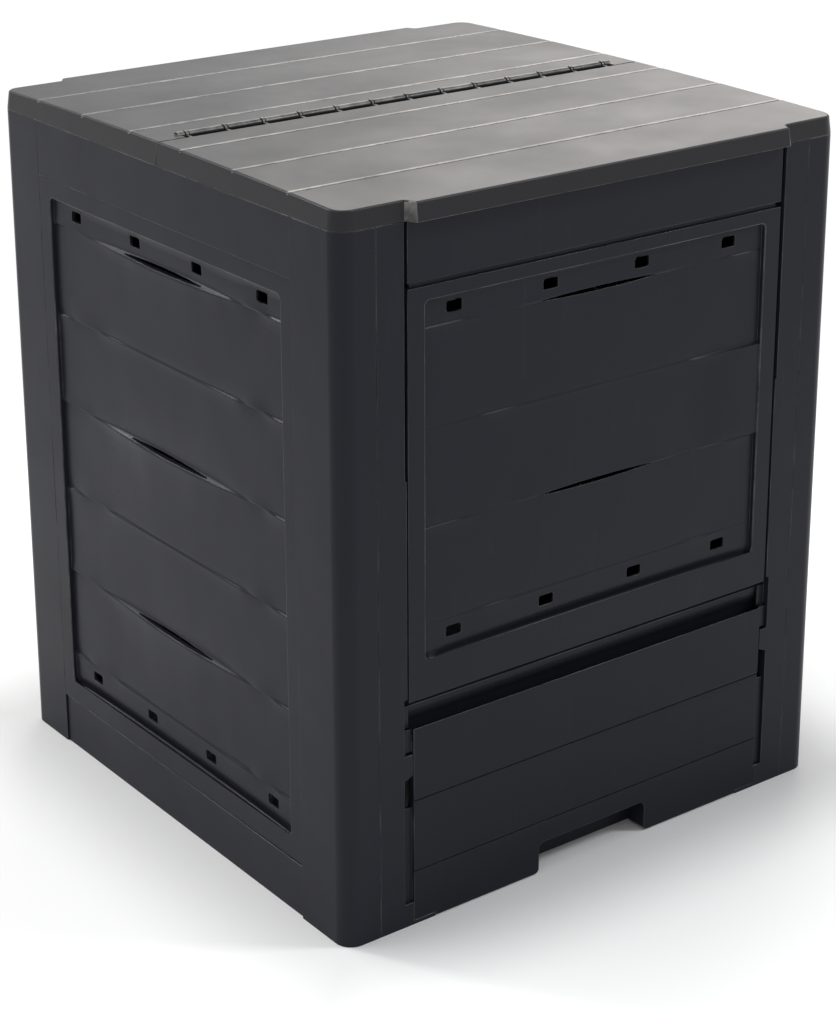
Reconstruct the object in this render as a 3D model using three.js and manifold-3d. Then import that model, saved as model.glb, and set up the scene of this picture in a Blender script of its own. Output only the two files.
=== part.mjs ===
// Compost bin with a two-part lid and a lift-out harvest door.
// Millimetres. X points right, Y points back, Z points up, and the front faces -Y.
// The origin is on the ground, at the middle of the body.

import * as THREE from "three";
import { mergeVertices } from "three/addons/utils/BufferGeometryUtils.js";
import Module from "manifold-3d";

const wasm = await Module();
wasm.setup();

// Overall sizes
const bodyWidth = 610;
const bodyDepth = 610;
const bodyTop = 704.7;
const lidSkirt = 18.8;
const lidCrown = 4;

// Values that all pieces share
const skinWall = 3;
const touchGap = 0.3;
const overrun = 5;
const weldTolerance = 0.0001;
const roundSteps = 6;
const rodSteps = 16;

// Corner posts
const cornerRadius = 18;
const postSideLeg = 74;
const postFrontLeg = 40;

// Hooked tongues on the walls, and the grooves that hold them
const tongueWall = 3;
const hookCatch = 2;
const hookLength = 8;
const rootWidth = 4;
const grooveLip = 5;
const innerWall = 2.5;

// Upper rails
const railHeight = 57.7;
const frontRailHeight = 58.5;
const frontFace = 1;
const railFlange = 26;
const railReturn = 24;
const rimInset = 7.5;
const rimWall = 2.8;
const rimHeight = 9.3;
const tieHeight = 8;
const tongueDrop = 12;

// Lower rails
const sideFace = 2;
const plinthTop = 57;
const footFlange = 20;

// Front stiles
const stileInner = 69;
const grooveInset = 7;
const panelReveal = 6;
const tabReach = 9.5;
const tabHeight = 22;
const tabSlant = 4;
const guideReach = 9.3;
const guideWall = 3;
const guideSpace = 6;
const footHeight = 24.7;
const footDepth = 8;
const footTabHeight = 4.5;
const footTabReach = 36.5;

// Harvest door
const doorReveal = 10.6;
const doorBottom = 1;
const doorTop = 209;
const doorHeadroom = 28.2;
const doorSkin = 2.6;
const doorBoardPitch = 75.5;
const doorBoardCount = 3;
const doorRibCount = 4;
const doorBackGap = 0.8;
const wingWall = 3.4;
const wingTopHeight = 24;
const wingGapHeight = 59;
const tabRoom = 2;
const notchWidth = 140;
const notchHeight = 34;
const notchRadius = 6;
const notchFootRadius = 5;
const pocketDepth = 25.4;
const pocketWall = 2.6;
const pocketBottom = 2.5;

// Door lintel
const lintelOverlap = 13;
const lintelDepth = 18;

// Board panels
const sideFrame = 21;
const frontFrame = 20;
const topFrame = 20;
const lowFrame = 24;
const frontLowFrame = 38.8;
const frontPanelGap = 5.2;
const fieldRecess = 5;
const fieldWall = 2.6;
const topBoard = 27;
const boardPitch = 97;
const boardGroove = 3;
const boardGrooveDepth = 1.2;
const panelRibDepth = 8;
const panelRibWall = 2.4;
const panelRibCount = 3;

// Vent slots
const ventWidth = 18;
const ventHeight = 11;
const ventCount = 4;
const ventBelowTop = 12;
const ventAboveBottom = 19;
const ventNearInset = 36.3;
const ventFarInset = 45.3;

// Air slits where two boards bow apart, at every second joint
const slitSpanShares = [0.31, 0.69];
const slitHeight = 5;
const slitEndHeight = 0.8;
const slitDrop = 0.6;

// Lid
const lidWall = 2.6;
const lidDraft = 3;
const roofWall = 2.8;
const lipSetback = 78;
const lipRun = 9;
const lipReach = 11;
const edgeBoard = 78;
const hingeBoard = 47;
const lidGrooveCount = 3;
const lidGroove = 3;
const lidGrooveDepth = 1.4;
const lidRibWall = 2.2;
const lidRibSetback = 17;
const lidRibPlaceShares = [-0.75, -0.25, 0.25, 0.75];

// Lid hinge
const splitPlace = -5;
const splitGap = 0.6;
const hingePlace = 8.5;
const hingeBelowCrown = 2;
const noseRadius = 4.5;
const slotSetback = 34.5;
const hookInset = 7.7;
const hookCount = 13;
const hookWidth = 3;
const hookSideGap = 1.2;
const hookRing = 5;
const hookMouth = 4.4;
const hookArmBelow = 3.5;
const hookArmAbove = 1;
const rodRadius = 2.8;
const notchBack = 8.5;
const rearRibPlace = 18;

// Clips that hold the rear lid half on the rims
const clipWidth = 20;
const clipWall = 2.8;
const clipBarb = 1.5;
const clipBarbHeight = 3;
const clipBottom = 3.3;
const rearClipInset = 150;
const sideClipInset = 98;

// Levels of the walls, from the sizes above
const railBottom = bodyTop - railHeight;
const frontRailBottom = bodyTop - frontRailHeight;
const frontPanelTop = frontRailBottom - frontPanelGap;
const frontPanelBottom = doorTop + doorHeadroom;
const fieldTop = railBottom - topFrame;
const boardTop = fieldTop - topBoard;
const lintelBottom = doorTop - lintelOverlap;
const wingGapTop = doorTop - wingTopHeight;
const wingGapBottom = wingGapTop - wingGapHeight;
const tabTop = wingGapTop - tabRoom;
const tabBottom = tabTop - tabHeight;

// Levels of the lid
const lidEdgeHeight = bodyTop + lidSkirt;
const lidCrownHeight = lidEdgeHeight + lidCrown;
const skirtBottom = bodyTop + touchGap;
const hingeHeight = lidCrownHeight - hingeBelowCrown;
const rimTop = bodyTop + rimHeight;
const lidRibBottom = rimTop + touchGap;

// Places across the walls
const frontPanelEdge = stileInner + panelReveal;
const doorSide = stileInner + doorReveal;
const lipHalfWidth = bodyWidth / 2 - lipSetback;
const slotHalfWidth = bodyWidth / 2 - slotSetback;

// Depths of the tongues and grooves behind a wall's outer plane
const tongueFront = skinWall + touchGap;
const tongueBack = tongueFront + tongueWall;
const hookBack = tongueBack + hookCatch;
const mouthBack = tongueBack + touchGap;
const pocketBack = hookBack + touchGap;
const channelBack = pocketBack + innerWall;
const channelLength = grooveLip + touchGap + hookLength + touchGap;
const lintelFront = grooveInset + tongueFront;
const doorReturn = lintelFront - doorBackGap;

// Each wall has its own frame: u runs to the right as seen from outside,
// v runs inward from the outer plane, and z runs up.
const walls = {
  front: { turn: 0, length: bodyWidth, distance: bodyDepth / 2 },
  right: { turn: Math.PI / 2, length: bodyDepth, distance: bodyWidth / 2 },
  rear: { turn: Math.PI, length: bodyWidth, distance: bodyDepth / 2 },
  left: { turn: -Math.PI / 2, length: bodyDepth, distance: bodyWidth / 2 },
};

// Turns a closed geometry into a solid that can be joined and cut.
function asSolid(geometry) {
  const bare = geometry.clone();
  bare.deleteAttribute("normal");
  bare.deleteAttribute("uv");
  const welded = mergeVertices(bare, weldTolerance);
  return new wasm.Manifold(
    new wasm.Mesh({
      numProp: 3,
      vertProperties: new Float32Array(welded.attributes.position.array),
      triVerts: new Uint32Array(welded.index.array),
    }),
  );
}

// Turns a finished solid back into a geometry with flat faces.
function asGeometry(solid) {
  const mesh = solid.getMesh();
  const indexed = new THREE.BufferGeometry();
  indexed.setAttribute("position", new THREE.BufferAttribute(mesh.vertProperties, 3));
  indexed.setIndex(new THREE.BufferAttribute(mesh.triVerts, 1));
  const faceted = indexed.toNonIndexed();
  faceted.computeVertexNormals();
  return faceted;
}

function join(solids) {
  return solids.reduce((sum, next) => sum.add(next));
}

function cut(solid, tools) {
  return tools.reduce((rest, tool) => rest.subtract(tool), solid);
}

function boxGeometry([x0, x1], [y0, y1], [z0, z1]) {
  const geometry = new THREE.BoxGeometry(x1 - x0, y1 - y0, z1 - z0);
  return geometry.translate((x0 + x1) / 2, (y0 + y1) / 2, (z0 + z1) / 2);
}

function box(xSpan, ySpan, zSpan) {
  return asSolid(boxGeometry(xSpan, ySpan, zSpan));
}

function shapeOf(points) {
  return new THREE.Shape(points.map(([a, b]) => new THREE.Vector2(a, b)));
}

function extruded(shape, length) {
  const options = { depth: length, bevelEnabled: false, curveSegments: roundSteps };
  return new THREE.ExtrudeGeometry(shape, options);
}

// A plan outline carried straight up between two levels.
function upright(shape, [z0, z1]) {
  return asSolid(extruded(shape, z1 - z0).translate(0, 0, z0));
}

// A section in depth and height carried sideways between two places.
function across(shape, [x0, x1]) {
  const lay = new THREE.Matrix4().makeBasis(
    new THREE.Vector3(0, 1, 0),
    new THREE.Vector3(0, 0, 1),
    new THREE.Vector3(1, 0, 0),
  );
  return asSolid(extruded(shape, x1 - x0).applyMatrix4(lay).translate(x0, 0, 0));
}

// An outline in width and height carried inward between two depths.
function inward(shape, [y0, y1]) {
  const stand = new THREE.Matrix4().makeRotationX(Math.PI / 2);
  return asSolid(extruded(shape, y1 - y0).applyMatrix4(stand).translate(0, y1, 0));
}

// A rod along X through a place in depth and height.
function rod(radius, [x0, x1], y, z) {
  const geometry = new THREE.CylinderGeometry(radius, radius, x1 - x0, rodSteps);
  return asSolid(geometry.rotateZ(Math.PI / 2).translate((x0 + x1) / 2, y, z));
}

function mirrored(points, length) {
  return points.map(([u, v]) => [length - u, v]);
}

// The C-shaped channel behind a joint, open towards greater u at the joint.
function channelPoints(joint, inset) {
  const end = joint - channelLength;
  const lip = joint - grooveLip;
  return [
    [joint, inset],
    [joint, inset + skinWall],
    [end, inset + skinWall],
    [end, inset + pocketBack],
    [lip, inset + pocketBack],
    [lip, inset + mouthBack],
    [joint, inset + mouthBack],
    [joint, inset + channelBack],
    [end - innerWall, inset + channelBack],
    [end - innerWall, inset],
  ];
}

// The hooked tongue that fits that channel, with the root that carries it.
function tonguePoints({ edge, joint, inset, face }) {
  const neckEnd = joint - grooveLip - touchGap;
  return [
    [edge + rootWidth, face],
    [edge + rootWidth, inset + tongueBack],
    [neckEnd, inset + tongueBack],
    [neckEnd, inset + hookBack],
    [neckEnd - hookLength, inset + hookBack],
    [neckEnd - hookLength, inset + tongueFront],
    [edge, inset + tongueFront],
    [edge, face],
  ];
}

// Both end tongues of a wall piece.
function endTongues(fit, length, levels) {
  const points = tonguePoints(fit);
  return [upright(shapeOf(points), levels), upright(shapeOf(mirrored(points, length)), levels)];
}

function sideFit(face) {
  return { edge: postSideLeg + touchGap, joint: postSideLeg, inset: 0, face };
}

const frontFit = { edge: frontPanelEdge, joint: stileInner, inset: grooveInset, face: frontFace };

// The L-shaped skin of a post: one leg along u on each side of the rounded corner.
function postSkin(legX, legY) {
  const inner = cornerRadius - skinWall;
  const shape = new THREE.Shape();
  shape.moveTo(legX, 0);
  shape.lineTo(legX, skinWall);
  shape.lineTo(cornerRadius, skinWall);
  shape.absarc(cornerRadius, cornerRadius, inner, -Math.PI / 2, Math.PI, true);
  shape.lineTo(skinWall, legY);
  shape.lineTo(0, legY);
  shape.lineTo(0, cornerRadius);
  shape.absarc(cornerRadius, cornerRadius, cornerRadius, Math.PI, -Math.PI / 2, false);
  return shape;
}

function cornerPost(legX, legY) {
  const levels = [0, bodyTop];
  const swapped = channelPoints(legY, 0).map(([u, v]) => [v, u]);
  return join([
    upright(postSkin(legX, legY), levels),
    upright(shapeOf(channelPoints(legX, 0)), levels),
    upright(shapeOf(swapped), levels),
  ]);
}

// Upper rail: skin, top flange with its return, and the rim that the lid sits round.
function railSection(face, bottom) {
  const flangeUnder = bodyTop - skinWall;
  return shapeOf([
    [face, bottom],
    [face, bodyTop],
    [rimInset, bodyTop],
    [rimInset, rimTop],
    [rimInset + rimWall, rimTop],
    [rimInset + rimWall, bodyTop],
    [railFlange, bodyTop],
    [railFlange, bodyTop - railReturn],
    [railFlange - innerWall, bodyTop - railReturn],
    [railFlange - innerWall, flangeUnder],
    [face + skinWall, flangeUnder],
    [face + skinWall, bottom],
  ]);
}

// The tongue under an upper rail that stands behind the panel below it.
function railTongue(face, panelFace, bottom) {
  const front = panelFace + skinWall + touchGap;
  return shapeOf([
    [face + skinWall / 2, bottom],
    [face + skinWall / 2, bottom + tieHeight],
    [front + tongueWall, bottom + tieHeight],
    [front + tongueWall, bottom - tongueDrop],
    [front, bottom - tongueDrop],
    [front, bottom],
  ]);
}

function upperRail({ length, fit, bottom, panelFace, clips }) {
  const ends = [fit.edge, length - fit.edge];
  const innerEnds = [fit.edge + rootWidth + touchGap, length - fit.edge - rootWidth - touchGap];
  const rail = join([
    across(railSection(fit.face, bottom), ends),
    across(railTongue(fit.face, panelFace, bottom), innerEnds),
    ...endTongues(fit, length, [bottom, bodyTop]),
  ]);
  return cut(rail, clips.map((place) => clipWindow(place)));
}

// Lower rail: skin, ground flange, and the tongue behind the panel above it.
function lowerRail(length) {
  const fit = sideFit(sideFace);
  const front = sideFace + skinWall + touchGap;
  const skinTop = plinthTop - touchGap;
  const section = shapeOf([
    [sideFace, 0],
    [sideFace, skinTop],
    [front, skinTop],
    [front, skinTop + tongueDrop],
    [front + tongueWall, skinTop + tongueDrop],
    [front + tongueWall, skinTop - tieHeight],
    [sideFace + skinWall, skinTop - tieHeight],
    [sideFace + skinWall, skinWall],
    [footFlange, skinWall],
    [footFlange, 0],
  ]);
  const innerEnds = [fit.edge + rootWidth + touchGap, length - fit.edge - rootWidth - touchGap];
  const endSkin = [fit.edge, length - fit.edge];
  return join([
    across(section, innerEnds),
    box(endSkin, [sideFace, sideFace + skinWall], [0, skinTop]),
    ...endTongues(fit, length, [0, skinTop]),
  ]);
}

// Slots spread evenly between the first and last centre, at the level of the row.
function ventRow([first, last], level, depths) {
  const pitch = (last - first) / (ventCount - 1);
  return Array.from({ length: ventCount }, (_, index) => {
    const centre = first + index * pitch;
    const span = [centre - ventWidth / 2, centre + ventWidth / 2];
    return box(span, depths, [level - ventHeight / 2, level + ventHeight / 2]);
  });
}

// V-grooves between boards, cut across a face at a depth.
function boardGrooves(levels, face, span, width, depth) {
  return levels.map((level) => {
    const section = shapeOf([
      [face - overrun, level - width / 2],
      [face, level - width / 2],
      [face + depth, level],
      [face, level + width / 2],
      [face - overrun, level + width / 2],
    ]);
    return across(section, span);
  });
}

// Lens-shaped air slits in the joints between boards, at every second joint from the top.
function airSlits(levels, [first, last], depths) {
  const [from, to] = slitSpanShares.map((share) => first + (last - first) * share);
  const middle = (from + to) / 2;
  const end = slitEndHeight / 2;
  const bow = slitHeight - end;
  return levels.filter((_, index) => index % 2 === 0).map((level) => {
    const centre = level - slitDrop;
    const shape = new THREE.Shape();
    shape.moveTo(from, centre + end);
    shape.quadraticCurveTo(middle, centre + bow, to, centre + end);
    shape.lineTo(to, centre - end);
    shape.quadraticCurveTo(middle, centre - bow, from, centre - end);
    return inward(shape, depths);
  });
}

// Framed board panel: a frame, a set-back field of boards, vents, air slits and stiffening ribs.
function boardPanel({ length, fit, bottom, top, frame, fieldBottom, ventInsets }) {
  const face = fit.face;
  const fieldFace = face + fieldRecess;
  const fieldBack = fieldFace + fieldWall;
  const field = [fit.joint + frame, length - fit.joint - frame];
  const ventEnds = [field[0] + ventInsets[0], field[1] - ventInsets[1]];
  const tray = [field[0] - fieldWall, field[1] + fieldWall];
  const trayLevels = [fieldBottom - fieldWall, fieldTop + fieldWall];
  const grooves = [];
  for (let level = boardTop; level > fieldBottom + boardGroove; level -= boardPitch) {
    grooves.push(level);
  }
  const body = join([
    box([fit.edge, length - fit.edge], [face, face + skinWall], [bottom, top]),
    box(tray, [face, fieldBack], trayLevels),
    ...endTongues(fit, length, [bottom, top]),
    ...panelRibs(field, fieldBack, [fieldBottom, fieldTop]),
  ]);
  const depths = [fieldFace - overrun, fieldBack + overrun];
  return cut(body, [
    box(field, [face - overrun, fieldFace], [fieldBottom, fieldTop]),
    ...boardGrooves(grooves, fieldFace, field, boardGroove, boardGrooveDepth),
    ...airSlits(grooves, field, depths),
    ...ventRow(ventEnds, fieldTop - ventBelowTop, depths),
    ...ventRow(ventEnds, fieldBottom + ventAboveBottom, depths),
  ]);
}

// Upright ribs on the back of a panel, spread evenly over its field.
function panelRibs(field, back, levels) {
  const step = (field[1] - field[0]) / (panelRibCount + 1);
  return Array.from({ length: panelRibCount }, (_, index) => {
    const centre = field[0] + step * (index + 1);
    const span = [centre - panelRibWall / 2, centre + panelRibWall / 2];
    return box(span, [back - fieldWall / 2, back + panelRibDepth], levels);
  });
}

// Front stile: skin, post tongue, groove for the panel, and the door's guides, tab and foot.
function frontStile() {
  const edge = postFrontLeg + touchGap;
  const levels = [0, bodyTop];
  const postTongue = tonguePoints({ edge, joint: postFrontLeg, inset: 0, face: 0 });
  const tab = shapeOf([
    [stileInner - skinWall, tabBottom - tabSlant],
    [stileInner, tabBottom - tabSlant],
    [stileInner + tabReach, tabBottom],
    [stileInner + tabReach, tabTop],
    [stileInner - skinWall, tabTop],
  ]);
  const guide = [stileInner - skinWall, stileInner + guideReach];
  const guideDepths = [grooveInset, grooveInset + guideWall];
  const footEnd = doorSide - touchGap;
  return join([
    box([edge, stileInner], [0, skinWall], levels),
    box([stileInner - skinWall, stileInner], [0, grooveInset + skinWall], levels),
    upright(shapeOf(postTongue), levels),
    upright(shapeOf(channelPoints(stileInner, grooveInset)), levels),
    inward(tab, [0, skinWall]),
    box(guide, guideDepths, [0, wingGapBottom - guideSpace]),
    box(guide, guideDepths, [tabTop + guideSpace, frontPanelBottom - guideSpace]),
    box([stileInner - skinWall, footEnd], [0, footDepth], [0, footHeight]),
    box([stileInner - skinWall, stileInner + footTabReach], [0, footDepth], [0, footTabHeight]),
  ]);
}

// Lintel: a set-back channel between the stiles, behind the door's top edge.
function doorLintel() {
  const front = lintelFront;
  const back = front + tongueWall;
  const top = frontPanelBottom - touchGap;
  const fit = { edge: stileInner + touchGap, joint: stileInner, inset: grooveInset, face: front };
  const section = shapeOf([
    [front, lintelBottom],
    [front, top],
    [front + lintelDepth, top],
    [front + lintelDepth, top - tongueWall],
    [back, top - tongueWall],
    [back, lintelBottom + tongueWall],
    [front + lintelDepth, lintelBottom + tongueWall],
    [front + lintelDepth, lintelBottom],
  ]);
  return join([
    across(section, [fit.edge, bodyWidth - fit.edge]),
    ...endTongues(fit, bodyWidth, [lintelBottom, top]),
  ]);
}

// The finger notch as seen from the front, with rounded upper corners.
function notchOutline(halfWidth, top) {
  const middle = bodyWidth / 2;
  const shape = new THREE.Shape();
  shape.moveTo(middle - halfWidth, -overrun);
  shape.lineTo(middle + halfWidth, -overrun);
  shape.lineTo(middle + halfWidth, top - notchRadius);
  shape.absarc(middle + halfWidth - notchRadius, top - notchRadius, notchRadius, 0, Math.PI / 2);
  shape.absarc(middle - halfWidth + notchRadius, top - notchRadius, notchRadius, Math.PI / 2, Math.PI);
  return shape;
}

// The rounding at the foot of the finger notch, on its right side or its left.
function notchFoot(side) {
  const edge = bodyWidth / 2 + side * (notchWidth / 2);
  const centre = edge + side * notchFootRadius;
  const turnEnd = side > 0 ? -Math.PI : 0;
  const shape = new THREE.Shape();
  shape.moveTo(edge, doorBottom - overrun);
  shape.lineTo(centre, doorBottom - overrun);
  shape.lineTo(centre, doorBottom);
  shape.absarc(centre, doorBottom + notchFootRadius, notchFootRadius, -Math.PI / 2, turnEnd, side > 0);
  return inward(shape, [-overrun, pocketDepth + pocketWall + overrun]);
}

// The pocket behind the finger notch: an arch-shaped tube closed by a back plate.
function doorPocket() {
  const back = pocketDepth + pocketWall;
  const half = notchWidth / 2;
  const hood = inward(notchOutline(half + pocketWall, notchHeight + pocketWall), [0, back]);
  const below = box([0, bodyWidth], [-overrun, back + overrun], [-overrun - overrun, doorBottom]);
  return cut(hood, [below]);
}

function doorWings(length) {
  const span = [stileInner + touchGap, doorSide + skinWall];
  const farSpan = [length - span[1], length - span[0]];
  const depths = [tongueFront, tongueFront + wingWall];
  return [span, farSpan].flatMap((side) => [
    box(side, depths, [footHeight + touchGap, wingGapBottom]),
    box(side, depths, [wingGapTop, doorTop]),
  ]);
}

function doorRibs(span) {
  const step = (span[1] - span[0]) / (doorRibCount + 1);
  return Array.from({ length: doorRibCount }, (_, index) => {
    const centre = span[0] + step * (index + 1);
    const width = [centre - panelRibWall / 2, centre + panelRibWall / 2];
    return box(width, [doorSkin / 2, doorReturn], [notchHeight, doorTop - doorSkin / 2]);
  });
}

// Harvest door: a tray-shaped board hatch with side wings and a finger pocket.
function harvestDoor() {
  const span = [doorSide, bodyWidth - doorSide];
  const inner = [span[0] + doorSkin, span[1] - doorSkin];
  const half = notchWidth / 2;
  const middle = bodyWidth / 2;
  const levels = [doorBottom, doorTop];
  const innerLevels = [doorBottom + doorSkin, doorTop - doorSkin];
  const grooves = Array.from(
    { length: doorBoardCount - 1 },
    (_, index) => doorTop - doorBoardPitch * (index + 1),
  );
  const tray = cut(box(span, [0, doorReturn], levels), [
    box(inner, [doorSkin, doorReturn + overrun], innerLevels),
  ]);
  const body = join([tray, doorPocket(), ...doorWings(bodyWidth), ...doorRibs(span)]);
  const footRoom = stileInner + footTabReach + touchGap;
  const footLevels = [0, footTabHeight + touchGap];
  const depths = [-overrun, doorReturn + overrun];
  return cut(body, [
    inward(notchOutline(half, notchHeight), [-overrun, pocketDepth]),
    notchFoot(1),
    notchFoot(-1),
    box([middle - half, middle + half], [0, pocketDepth + pocketWall + overrun], [0, pocketBottom]),
    box([0, footRoom], depths, footLevels),
    box([bodyWidth - footRoom, bodyWidth], depths, footLevels),
    ...boardGrooves(grooves, 0, [0, bodyWidth], boardGroove, boardGrooveDepth),
  ]);
}

// Lid outline seen from above, set in by a wall: rounded corners, and a grip lip in the
// middle of the front and rear edges.
function lidOutline(inset) {
  const right = bodyWidth / 2 - inset;
  const back = bodyDepth / 2 - inset;
  const lip = back + lipReach;
  const r = cornerRadius - inset;
  const lipTop = lipHalfWidth - inset;
  const lipEnd = lipTop + lipRun;
  const bend = lipTop + lipRun / 2;
  const shape = new THREE.Shape();
  shape.moveTo(right, 0);
  shape.absarc(right - r, back - r, r, 0, Math.PI / 2);
  shape.lineTo(lipEnd, back);
  shape.bezierCurveTo(bend, back, bend, lip, lipTop, lip);
  shape.lineTo(-lipTop, lip);
  shape.bezierCurveTo(-bend, lip, -bend, back, -lipEnd, back);
  shape.absarc(r - right, back - r, r, Math.PI / 2, Math.PI);
  shape.absarc(r - right, r - back, r, Math.PI, -Math.PI / 2);
  shape.lineTo(-lipEnd, -back);
  shape.bezierCurveTo(-bend, -back, -bend, -lip, -lipTop, -lip);
  shape.lineTo(lipTop, -lip);
  shape.bezierCurveTo(bend, -lip, bend, -back, lipEnd, -back);
  shape.absarc(right - r, r - back, r, -Math.PI / 2, 0);
  return shape;
}

// The lid's outline carried up with a draft, set in from the outside by a wall.
function draftedBlock(inset) {
  const geometry = new THREE.ExtrudeGeometry(lidOutline(inset), {
    depth: overrun,
    curveSegments: roundSteps,
    bevelSegments: 1,
    bevelThickness: lidCrownHeight - skirtBottom,
    bevelSize: lidDraft,
    bevelOffset: -lidDraft,
  });
  return asSolid(geometry.translate(0, 0, skirtBottom - overrun));
}

// Height of the crowned lid surface at a place in depth.
function roofHeight(y) {
  const share = y / (bodyDepth / 2);
  return lidEdgeHeight + (lidCrownHeight - lidEdgeHeight) * (1 - share * share);
}

// Places of the grooves between the lid's boards, for one half of the lid.
function lidGroovePlaces(side) {
  const first = bodyDepth / 2 - edgeBoard;
  const pitch = (first - hingeBoard) / (lidGrooveCount - 1);
  return Array.from({ length: lidGrooveCount }, (_, index) => side * (first - index * pitch))
    .sort((a, b) => a - b);
}

// Section of a lid half: flat below, crowned above, with or without board grooves.
function roofSection([from, to], bottom, drop, grooveDepth, side) {
  const points = [[from, roofHeight(from) - drop]];
  for (const place of lidGroovePlaces(side)) {
    const level = roofHeight(place) - drop;
    points.push([place - lidGroove / 2, level]);
    points.push([place, level - grooveDepth]);
    points.push([place + lidGroove / 2, level]);
  }
  points.push([to, roofHeight(to) - drop]);
  return shapeOf([[from, bottom], ...points, [to, bottom]]);
}

// Shell of one lid half between two places in depth, open below.
function lidShell(span, side) {
  const wide = [-bodyWidth / 2 - overrun, bodyWidth / 2 + overrun];
  const reach = [span[0] - overrun, span[1] + overrun];
  const hollowBottom = skirtBottom - overrun;
  const outer = draftedBlock(0).intersect(
    across(roofSection(span, skirtBottom, 0, lidGrooveDepth, side), wide),
  );
  const hollow = draftedBlock(lidWall).intersect(
    across(roofSection(reach, hollowBottom, roofWall, 0, side), wide),
  );
  return cut(outer, [hollow]);
}

// Ribs under a lid half: one along the hinge and several from the hinge to the edge.
function lidRibs(hingeRibSpan, ribSpan, side) {
  const innerHalf = bodyWidth / 2 - lidWall - lidDraft;
  const section = roofSection(ribSpan, lidRibBottom, roofWall / 2, 0, side);
  const along = lidRibPlaceShares.map((share) => {
    const centre = share * (bodyWidth / 2);
    return across(section, [centre - lidRibWall / 2, centre + lidRibWall / 2]);
  });
  const hingeLevels = [lidRibBottom, lidCrownHeight - roofWall / 2];
  return [box([-innerHalf, innerHalf], hingeRibSpan, hingeLevels), ...along];
}

function hookPlaces() {
  const last = slotHalfWidth - hookInset;
  const pitch = (last + last) / (hookCount - 1);
  return Array.from({ length: hookCount }, (_, index) => index * pitch - last);
}

// One hook of the front half: an arm and an open ring that snaps round the rod.
function lidHook(centre, armStart) {
  const width = [centre - hookWidth / 2, centre + hookWidth / 2];
  const wide = [width[0] - overrun, width[1] + overrun];
  const armLevels = [hingeHeight - hookArmBelow, hingeHeight + hookArmAbove];
  const arm = box(width, [armStart, hingePlace], armLevels);
  const ring = rod(hookRing, width, hingePlace, hingeHeight);
  const mouth = [hingeHeight - hookMouth / 2, hingeHeight + hookMouth / 2];
  return cut(join([arm, ring]), [
    rod(rodRadius + touchGap, wide, hingePlace, hingeHeight),
    box(wide, [hingePlace, hingePlace + hookRing + overrun], mouth),
  ]);
}

function lidFrontHalf() {
  const edge = splitPlace - splitGap / 2;
  const front = -bodyDepth / 2 - lipReach - overrun;
  const shell = lidShell([front, edge], -1);
  const ribs = lidRibs([edge - lidRibWall, edge], [lidRibSetback - bodyDepth / 2, edge], -1);
  const hooks = hookPlaces().map((centre) => lidHook(centre, edge - lidRibWall / 2));
  return join([shell, ...ribs, ...hooks]);
}

// One notch in the rear half's nose, where a hook of the front half turns.
function noseNotch(centre) {
  const half = hookWidth / 2 + hookSideGap;
  const depths = [hingePlace - hookRing - overrun, hingePlace + notchBack];
  const levels = [hingeHeight - hookRing - overrun, lidCrownHeight + overrun];
  return box([centre - half, centre + half], depths, levels);
}

function lidRearHalf() {
  const edge = splitPlace + splitGap / 2;
  const back = bodyDepth / 2 + lipReach + overrun;
  const slot = [-slotHalfWidth, slotHalfWidth];
  const shell = cut(lidShell([edge, back], 1), [
    box(slot, [edge - overrun, hingePlace], [skirtBottom - overrun, lidCrownHeight + overrun]),
  ]);
  const hingeRib = [rearRibPlace, rearRibPlace + lidRibWall];
  const ribs = lidRibs(hingeRib, [rearRibPlace, bodyDepth / 2 - lidRibSetback], 1);
  const noseHalfWidth = slotHalfWidth + rodRadius;
  const nose = rod(noseRadius, [-noseHalfWidth, noseHalfWidth], hingePlace, hingeHeight);
  const notched = cut(join([shell, nose]), hookPlaces().map(noseNotch));
  const pin = rod(rodRadius, [-slotHalfWidth, slotHalfWidth], hingePlace, hingeHeight);
  return join([notched, pin, ...ribs, ...lidClips()]);
}

// Where the rear half's clips go: a wall and a place along it.
function clipPlaces() {
  return [
    { wall: walls.rear, place: rearClipInset },
    { wall: walls.rear, place: bodyWidth - rearClipInset },
    { wall: walls.left, place: sideClipInset },
    { wall: walls.right, place: bodyDepth - sideClipInset },
  ];
}

function clipsOf(wall) {
  return clipPlaces().filter((clip) => clip.wall === wall).map((clip) => clip.place);
}

// The window in a rim that a clip's barb snaps into.
function clipWindow(place) {
  const half = clipWidth / 2 + touchGap;
  const bottom = bodyTop + clipBottom - touchGap;
  const levels = [bottom, bottom + clipBarbHeight + touchGap + touchGap];
  return box([place - half, place + half], [rimInset - touchGap, rimInset + rimWall + touchGap], levels);
}

function wallMatrix(wall) {
  const shift = new THREE.Matrix4().makeTranslation(-wall.length / 2, -wall.distance, 0);
  return new THREE.Matrix4().makeRotationZ(wall.turn).multiply(shift);
}

// Clip fingers inside the rims, each with a barb that reaches outward.
function lidClips() {
  return clipPlaces().flatMap(({ wall, place }) => {
    const front = rimInset + rimWall + touchGap;
    const width = [place - clipWidth / 2, place + clipWidth / 2];
    const bottom = bodyTop + clipBottom;
    const barbDepths = [front - clipBarb, front + clipWall / 2];
    const finger = boxGeometry(width, [front, front + clipWall], [bottom, lidEdgeHeight]);
    const barb = boxGeometry(width, barbDepths, [bottom, bottom + clipBarbHeight]);
    const matrix = wallMatrix(wall);
    return [asSolid(finger.applyMatrix4(matrix)), asSolid(barb.applyMatrix4(matrix))];
  });
}

// Moulded polypropylene: the front sees a cooler light than the sides and the lid.
const finishes = {
  body: { color: "#26272b", roughness: 0.5, metalness: 0 },
  lid: { color: "#2b2a29", roughness: 0.42, metalness: 0 },
  door: { color: "#232429", roughness: 0.52, metalness: 0 },
};

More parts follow.
